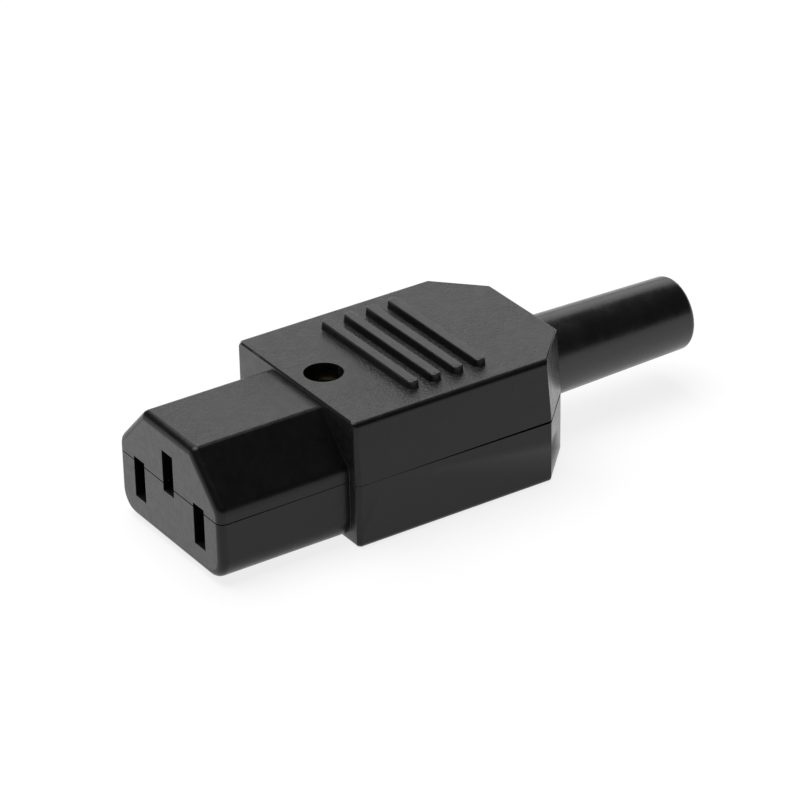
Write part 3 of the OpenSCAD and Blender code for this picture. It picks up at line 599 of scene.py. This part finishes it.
    whole = wires.lay("GeometryNodeJoinGeometry")
    for shape in (thread.outputs[0], tip.outputs[0], shank.outputs[0], cut.outputs["Mesh"]):
        wires.feed(whole.inputs[0], shape)
    seat = wires.lay("ShaderNodeCombineXYZ", {"X": given["Seat X"], "Y": given["Seat Y"], "Z": given["Seat Z"]})
    whole = wires.lay("GeometryNodeTransform", {"Geometry": whole.outputs[0], "Translation": seat.outputs[0]})
    end_tree(wires, whole.outputs[0], given["Material"])
    return tree


# ---- Operators -------------------------------------------------------------------------

class CONNECTOR_OT_shells(bpy.types.Operator):
    """Dress the two moulded shells, their top ribs left off, with wrinkled and satin faces"""
    bl_idname = "connector.shells"
    bl_label = "Shells"

    def execute(self, context):
        sizes = context.scene.connector_shell
        # Each finish's IOR goes with the way its faces point: the matt fronts (1.8) and corner cuts (1.6) reflect
        # more, and the satin sides (1.38) less, than one plastic would. These reflection strengths are painted
        # light; the pebbles, speckle and roughness are the mould's own.
        finishes = (
            moulded_plastic("black_pebbled_plastic", sizes, 1.62, sizes.top_gloss, pebbles=sizes.grain_depth),
            moulded_plastic("black_matt_plastic", sizes, 1.8, sizes.front_gloss, pebbles=0.3 * sizes.grain_depth,
                            speckle=sizes.speck_depth),
            moulded_plastic("black_satin_plastic", sizes, 1.38, sizes.side_gloss),
            moulded_plastic("black_glossy_plastic", sizes, 1.6, sizes.cut_gloss))
        for node in ("upper_shell", "lower_shell"):
            mesh = shell_mesh(node, shell_top() + 0.01 * MM)
            share_out(mesh)
            smooth(mesh)
            for finish in finishes:
                mesh.materials.append(finish)
            piece = link("moulded_" + node, mesh)
            even_out(piece)
            finish_piece(piece, [node])
        return {"FINISHED"}


def shell_top():
    """Height of the upper shell's flat top, under its ribs: the highest level that its widest
    level faces share."""
    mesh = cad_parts["upper_shell"].data
    spread = {}
    for polygon in mesh.polygons:
        if polygon.normal.z > 0.999:
            level = round(polygon.center.z, 6)
            spread[level] = spread.get(level, 0.0) + polygon.area
    return max(spread, key=spread.get)


class CONNECTOR_OT_grip_ribs(bpy.types.Operator):
    """Grow the grip ribs across the upper shell's top"""
    bl_idname = "connector.grip_ribs"
    bl_label = "Grip ribs"

    def execute(self, context):
        sizes = context.scene.connector_rib
        top = shell_top()
        shell = context.scene.connector_shell
        plastic = moulded_plastic("black_rib_plastic", shell, 1.5, shell.side_gloss)
        ribs = grow(rib_tree(), "grip_ribs", bpy.data.meshes.new("grip_ribs"), {
            "Pitch": sizes.pitch, "Length": sizes.span, "Width": sizes.width,
            "Height": RIB_TOP - top, "Edge Radius": sizes.edge, "Foot Radius": sizes.foot,
            "Draft": sizes.draft, "First Y": CAD_LOW.y + sizes.nose + sizes.front_gap, "Base Z": top,
            "Count": sizes.count, "Steps": 12, "Material": plastic})
        face_outwards(ribs.data)
        smooth(ribs.data, 40.0)
        even_out(ribs)
        finish_piece(ribs, [])
        return {"FINISHED"}


class CONNECTOR_OT_sleeve(bpy.types.Operator):
    """Turn the flexible sleeve that the cord leaves through"""
    bl_idname = "connector.sleeve"
    bl_label = "Sleeve"

    def execute(self, context):
        sizes = context.scene.connector_sleeve
        bore, tip, root = sizes.bore / 2, sizes.tip / 2, sizes.root / 2
        flange_r = (SLEEVE_HIGH.x - SLEEVE_LOW.x) / 2
        end, face = SLEEVE_HIGH.y, SLEEVE_HIGH.y - sizes.free_length
        lip = min(sizes.lip, 0.7 * (tip - bore))
        front = SLEEVE_LOW.y
        outline = [(bore, front), (flange_r - 0.3 * MM, front)]
        outline += arc(flange_r - 0.3 * MM, front + 0.3 * MM, 0.3 * MM, -90, 0, 6)
        outline += arc(flange_r - 0.3 * MM, front + sizes.flange - 0.3 * MM, 0.3 * MM, 0, 90, 6)
        neck = root - 2 * sizes.neck_gap
        outline += [(neck, front + sizes.flange), (neck, face + sizes.neck_gap), (root, face + sizes.neck_gap)]
        outline += [(root + (tip - root) * k / 10, face + sizes.neck_gap
                     + (end - lip - face - sizes.neck_gap) * k / 10) for k in range(1, 10)]
        outline += arc(tip - lip, end - lip, lip, 0, 90, 10)
        outline += arc(bore + 0.25 * MM, end - 0.25 * MM, 0.25 * MM, 90, 180, 6)
        outline += [(bore, front)]
        profile = bpy.data.meshes.new("sleeve_profile")
        profile.from_pydata([(r, 0.0, y) for r, y in outline], [], [])
        sleeve = grow(lathe_tree(), "flexible_sleeve", profile, {
            "Axis X": (SLEEVE_LOW.x + SLEEVE_HIGH.x) / 2, "Axis Z": (SLEEVE_LOW.z + SLEEVE_HIGH.z) / 2,
            "Segments": sizes.segments, "Material": soft_rubber("soft_black_pvc", sizes)})
        face_outwards(sleeve.data)
        smooth(sleeve.data, 35.0)
        finish_piece(sleeve, ["cord_sleeve"])
        return {"FINISHED"}


def arc(centre_r, centre_y, radius, start, stop, steps):
    """Points of a round corner of the profile, from one heading to another in degrees."""
    turns = [math.radians(start + (stop - start) * k / steps) for k in range(steps + 1)]
    return [(centre_r + radius * math.cos(t), centre_y + radius * math.sin(t)) for t in turns]


def face_outwards(mesh):
    work = bmesh.new()
    work.from_mesh(mesh)
    bmesh.ops.recalc_face_normals(work, faces=work.faces)
    work.to_mesh(mesh)
    work.free()


class CONNECTOR_OT_screws(bpy.types.Operator):
    """Turn the housing, terminal and clamp screws with their threads"""
    bl_idname = "connector.screws"
    bl_label = "Screws"

    def execute(self, context):
        sizes = context.scene.connector_screw
        zinc = rolled_metal("zinc_plated_steel", tuple(sizes.zinc), 0.3, (900.0, 900.0, 5200.0))
        # The housing screw's darkened gilt paints the shade of its deep hole
        gilt = rolled_metal("yellow_passivated_steel", tuple(sizes.gilt), 0.12, (900.0, 900.0, 5200.0))
        tree = screw_tree()
        for node, kind in SCREWS.items():
            low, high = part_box(node)
            head_d = high.x - low.x
            head_h, shank_d = {"gilt": (1.6 * MM, 2.6 * MM), "slotted": (1.7 * MM, 3.0 * MM),
                               "cross": (1.7 * MM, 2.9 * MM)}[kind]
            seat_z = high.z - head_h
            slotted = kind == "slotted"
            screw = grow(tree, "threaded_" + node, bpy.data.meshes.new(node), {
                "Head Diameter": head_d, "Head Height": head_h, "Shank Diameter": shank_d,
                "Shank Length": seat_z - low.z,
                "Thread Pitch": sizes.thread_pitch if slotted else sizes.coarse_pitch,
                "Thread Depth": sizes.thread_depth, "Recess Width": sizes.recess,
                "Recess Length": head_d * (1.2 if slotted else 0.56),
                "Recess Depth": head_h * (0.55 if slotted else 0.65),
                "Seat X": (low.x + high.x) / 2, "Seat Y": (low.y + high.y) / 2, "Seat Z": seat_z,
                "Recess Arms": 1 if slotted else 2, "Segments": 48,
                "Material": gilt if kind == "gilt" else zinc})
            smooth(screw.data, 40.0)
            finish_piece(screw, [node])
        return {"FINISHED"}


class CONNECTOR_OT_contacts(bpy.types.Operator):
    """Finish the folded brass contacts and the plated wire clamps"""
    bl_idname = "connector.contacts"
    bl_label = "Contacts"

    def execute(self, context):
        sizes = context.scene.connector_metal
        brass = rolled_metal("rolled_brass", tuple(sizes.brass), 0.3, (5200.0, 500.0, 900.0), 0.72)
        plate = rolled_metal("plated_wire_clamp", tuple(sizes.plate), 0.34, (900.0, 5200.0, 900.0), 0.8)
        for names, finish in ((CONTACTS, brass), (WIRE_CLAMPS, plate)):
            for name in names:
                paint(name, finish)
        return {"FINISHED"}


def paint(node, finish):
    """Gives a node that stays as it is its finish."""
    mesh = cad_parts[node].data
    mesh.materials.clear()
    mesh.materials.append(finish)


class CONNECTOR_OT_cord_clamp(bpy.types.Operator):
    """Finish the moulded bar that holds the cord"""
    bl_idname = "connector.cord_clamp"
    bl_label = "Cord clamp"

    def execute(self, context):
        sizes = context.scene.connector_metal
        material, wires, shader = new_material("dark_moulded_clamp")
        place = wires.lay("ShaderNodeTexCoord").outputs["Object"]
        flow = wires.noise(wires.stretched(place, (300.0, 1400.0, 1400.0)), 1.0, 3.0, 0.6)
        grit = wires.noise(place, 4200.0, 2.0, 0.6)
        dark = tuple(c * 0.7 for c in sizes.fibre)
        wires.feed(shader.inputs["Base Color"], blend_colours(wires, flow, dark, tuple(sizes.fibre)))
        wires.feed(shader.inputs["Roughness"], wires.ramp(flow, 0.3, 0.7, 0.45, 0.6))
        bump = wires.lay("ShaderNodeBump", {"Height": wires.sum_up("MULTIPLY", grit, 0.012), "Distance": MM})
        wires.feed(shader.inputs["Normal"], bump.outputs["Normal"])
        paint("cord_clamp", material)
        return {"FINISHED"}


class CONNECTOR_OT_stage(bpy.types.Operator):
    """Set the connector on a pale floor under soft light, with the camera at its front right"""
    bl_idname = "connector.stage"
    bl_label = "Stage"

    def execute(self, context):
        sizes = context.scene.connector_stage
        lay_floor(sizes)
        light_room(context.scene, sizes)
        place_camera(context.scene, sizes)
        context.scene.view_settings.view_transform = "Standard"
        return {"FINISHED"}


def lay_floor(sizes):
    half = 2.0
    mesh = bpy.data.meshes.new("floor")
    mesh.from_pydata([(-half, -half, 0.0), (half, -half, 0.0), (half, half, 0.0), (-half, half, 0.0)], [],
                     [(0, 1, 2, 3)])
    material = bpy.data.materials.new("pale_floor")
    material.use_nodes = True
    wires = Wiring(material.node_tree)
    nodes = material.node_tree.nodes
    nodes.remove(nodes["Principled BSDF"])
    matt = wires.lay("ShaderNodeBsdfDiffuse", {"Color": tuple(c * sizes.shade for c in sizes.floor) + (1.0,)})
    path = wires.lay("ShaderNodeLightPath")
    seen = wires.sum_up("MAXIMUM", path.outputs["Is Camera Ray"], wires.sum_up(
        "MAXIMUM", path.outputs["Is Glossy Ray"], path.outputs["Is Transmission Ray"]))
    glow = wires.lay("ShaderNodeEmission", {
        "Color": (*sizes.floor, 1.0), "Strength": wires.sum_up("MULTIPLY", seen, 1.04 - sizes.shade)})
    both = wires.lay("ShaderNodeAddShader")
    wires.feed(both.inputs[0], matt.outputs[0])
    wires.feed(both.inputs[1], glow.outputs[0])
    wires.feed(nodes["Material Output"].inputs["Surface"], both.outputs[0])
    mesh.materials.append(material)
    link("floor", mesh)


def light_room(scene, sizes):
    """A dim room, pale at the horizon, with a soft lamp overhead and a low one behind."""
    world = bpy.data.worlds.new("room")
    scene.world = world
    world.use_nodes = True
    wires = Wiring(world.node_tree)
    heading = wires.lay("ShaderNodeTexCoord").outputs["Generated"]
    height = wires.lay("ShaderNodeSeparateXYZ", {0: heading}).outputs["Z"]
    tone = wires.ramp(height, 0.1, 0.24, 1.0, sizes.fill)
    background = world.node_tree.nodes["Background"]
    wires.feed(background.inputs["Strength"], tone)
    background.inputs["Color"].default_value = (1.0, 1.0, 1.0, 1.0)

    middle = (CAD_LOW + CAD_HIGH) / 2
    for name, power, width, depth, offset in (
            ("overhead_lamp", sizes.key, 0.9, 0.9, Vector((-0.22, -0.12, 1.05))),
            ("back_lamp", sizes.back, 1.1, 0.6, Vector((-0.84, 0.54, 0.56)))):
        lamp = bpy.data.lights.new(name, "AREA")
        lamp.shape = "RECTANGLE"
        lamp.size, lamp.size_y = width, depth
        lamp.energy = power
        stand = bpy.data.objects.new(name, lamp)
        scene.collection.objects.link(stand)
        stand.location = middle + offset
        stand.rotation_euler = (-offset).to_track_quat("-Z", "Y").to_euler()


def place_camera(scene, sizes):
    flat = math.cos(sizes.elevation)
    back = Vector((math.sin(sizes.azimuth) * flat, -math.cos(sizes.azimuth) * flat, math.sin(sizes.elevation)))
    right = (-back).cross(Vector((0.0, 0.0, 1.0))).normalized()
    up = right.cross(-back)
    turned_right = math.cos(sizes.roll) * right + math.sin(sizes.roll) * up
    turned_up = math.cos(sizes.roll) * up - math.sin(sizes.roll) * right
    eye = (CAD_LOW + CAD_HIGH) / 2 + Vector(sizes.aim) + back * sizes.distance
    camera = bpy.data.cameras.new("camera")
    camera.lens = sizes.lens
    camera.clip_start = 0.01
    stand = bpy.data.objects.new("camera", camera)
    scene.collection.objects.link(stand)
    stand.matrix_world = Matrix((turned_right, turned_up, back)).transposed().to_4x4()
    stand.location = eye
    scene.camera = stand


class CONNECTOR_PT_sidebar(bpy.types.Panel):
    """Sizes, colours and steps of the connector"""
    bl_label = "C13 connector"
    bl_idname = "CONNECTOR_PT_sidebar"
    bl_space_type = "VIEW_3D"
    bl_region_type = "UI"
    bl_category = "Connector"

    def draw(self, context):
        for step, group in STEPS:
            box = self.layout.box()
            box.operator(step.bl_idname)
            if group:
                settings = getattr(context.scene, group)
                for name in settings.__annotations__:
                    box.prop(settings, name)


STEPS = (
    (CONNECTOR_OT_shells, "connector_shell"),
    (CONNECTOR_OT_grip_ribs, "connector_rib"),
    (CONNECTOR_OT_sleeve, "connector_sleeve"),
    (CONNECTOR_OT_screws, "connector_screw"),
    (CONNECTOR_OT_contacts, "connector_metal"),
    (CONNECTOR_OT_cord_clamp, None),
    (CONNECTOR_OT_stage, "connector_stage"),
)
GROUPS = {
    "connector_shell": ShellSettings,
    "connector_rib": RibSettings,
    "connector_sleeve": SleeveSettings,
    "connector_screw": ScrewSettings,
    "connector_metal": MetalSettings,
    "connector_stage": StageSettings,
}


def register():
    for group in GROUPS.values():
        bpy.utils.register_class(group)
    for step, _ in STEPS:
        bpy.utils.register_class(step)
    bpy.utils.register_class(CONNECTOR_PT_sidebar)
    for name, group in GROUPS.items():
        setattr(bpy.types.Scene, name, PointerProperty(type=group))


def unregister():
    for name in GROUPS:
        delattr(bpy.types.Scene, name)
    bpy.utils.unregister_class(CONNECTOR_PT_sidebar)
    for step, _ in reversed(STEPS):
        bpy.utils.unregister_class(step)
    for group in reversed(list(GROUPS.values())):
        bpy.utils.unregister_class(group)


def main():
    register()
    for step in (bpy.ops.connector.shells, bpy.ops.connector.grip_ribs, bpy.ops.connector.sleeve,
                 bpy.ops.connector.screws, bpy.ops.connector.contacts, bpy.ops.connector.cord_clamp,
                 bpy.ops.connector.stage):
        step()


if __name__ == "__main__":
    main()
